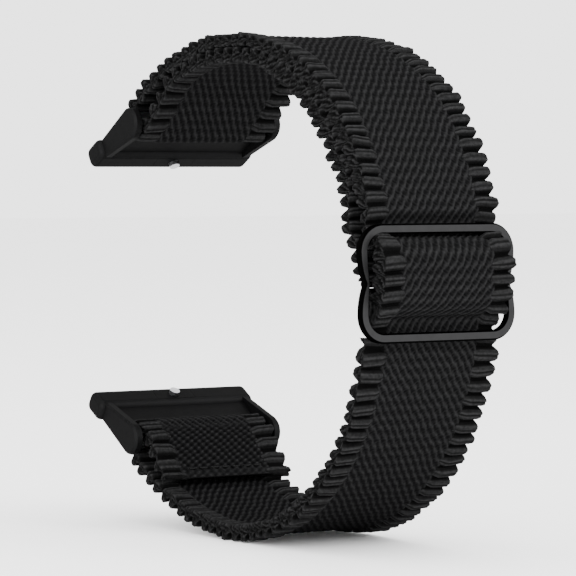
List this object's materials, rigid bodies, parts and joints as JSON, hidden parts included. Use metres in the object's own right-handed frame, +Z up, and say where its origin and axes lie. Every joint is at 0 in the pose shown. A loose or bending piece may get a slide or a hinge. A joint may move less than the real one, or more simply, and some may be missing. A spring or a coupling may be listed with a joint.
{
  "type": "watch strap",
  "caption": "Elastic webbing watch strap with ruffled edges, a sliding buckle that takes up its length, and a sprung lug connector swivelling at each end.",
  "frame": {"origin": "centre of the upper lug rail, which slides into the watch's lug channel", "axes": "+X across the strap along both lug rails, +Z up towards twelve o'clock, -Y from the lugs through the wrist opening to the sliding buckle"},
  "size_m": [0.0286, 0.0779, 0.0756],
  "materials": {
    "webbing": "black woven elastic, lengthwise ribs of slanted stitches",
    "ruffle": "black knitted elastic edge in tight folds",
    "thread": "black polyester sewing thread",
    "buckle_metal": "satin dark grey coated steel",
    "lug_metal": "matte black coated steel",
    "pin_steel": "bright ground steel",
    "pad_rubber": "matte black elastomer"
  },
  "bodies": {
    "strap": {"upper_webbing": "webbing", "upper_ruffles": "ruffle", "upper_stretch_webbing": "webbing", "upper_stretch_ruffles": "ruffle", "inner_stretch_webbing": "webbing", "inner_stretch_ruffles": "ruffle", "lower_webbing": "webbing", "lower_ruffles": "ruffle", "lower_stretch_webbing": "webbing", "lower_stretch_ruffles": "ruffle", "lower_fold_stitches": "thread"},
    "slider": {"slider_frame": "buckle_metal", "woven_webbing": "webbing", "woven_ruffles": "ruffle", "end_loop_webbing": "webbing", "end_loop_ruffles": "ruffle", "end_loop_stitches": "thread"},
    "upper_connector": {"upper_lug_body": "lug_metal", "upper_strap_pin": "pin_steel", "upper_latch_cover": "lug_metal", "upper_latch_spring": "pin_steel", "upper_rattle_pads": "pad_rubber"},
    "upper_latch": {"upper_latch_plunger": "pin_steel"},
    "lower_connector": {"lower_lug_body": "lug_metal", "lower_strap_pin": "pin_steel", "lower_latch_cover": "lug_metal", "lower_latch_spring": "pin_steel", "lower_rattle_pads": "pad_rubber"},
    "lower_latch": {"lower_latch_plunger": "pin_steel"}
  },
  "joints": [
    {"name": "slider_travel", "type": "hinge", "parent": "strap", "child": "slider", "pos_m": [0, -0.03243, -0.01999], "axis": [1, 0, 0], "range_deg": [-15, 15], "deforming": ["upper_stretch_webbing", "upper_stretch_ruffles", "inner_stretch_webbing", "inner_stretch_ruffles", "lower_stretch_webbing", "lower_stretch_ruffles"]},
    {"name": "upper_swivel", "type": "hinge", "parent": "strap", "child": "upper_connector", "pos_m": [0, -0.00806, 0.00484], "axis": [1, 0, 0], "range_deg": [-25, 25]},
    {"name": "upper_latch_press", "type": "slide", "parent": "upper_connector", "child": "upper_latch", "axis": [0, 0.515, 0.8572], "range_m": [0, 0.0007], "stiffness_N_per_m": 300, "springref_m": -0.0006, "deforming": ["upper_latch_spring"]},
    {"name": "lower_swivel", "type": "hinge", "parent": "strap", "child": "lower_connector", "pos_m": [0, -0.00806, -0.04481], "axis": [1, 0, 0], "range_deg": [-25, 25]},
    {"name": "lower_latch_press", "type": "slide", "parent": "lower_connector", "child": "lower_latch", "axis": [0, 0.515, -0.8572], "range_m": [0, 0.0007], "stiffness_N_per_m": 300, "springref_m": -0.0006, "deforming": ["lower_latch_spring"]}
  ]
}
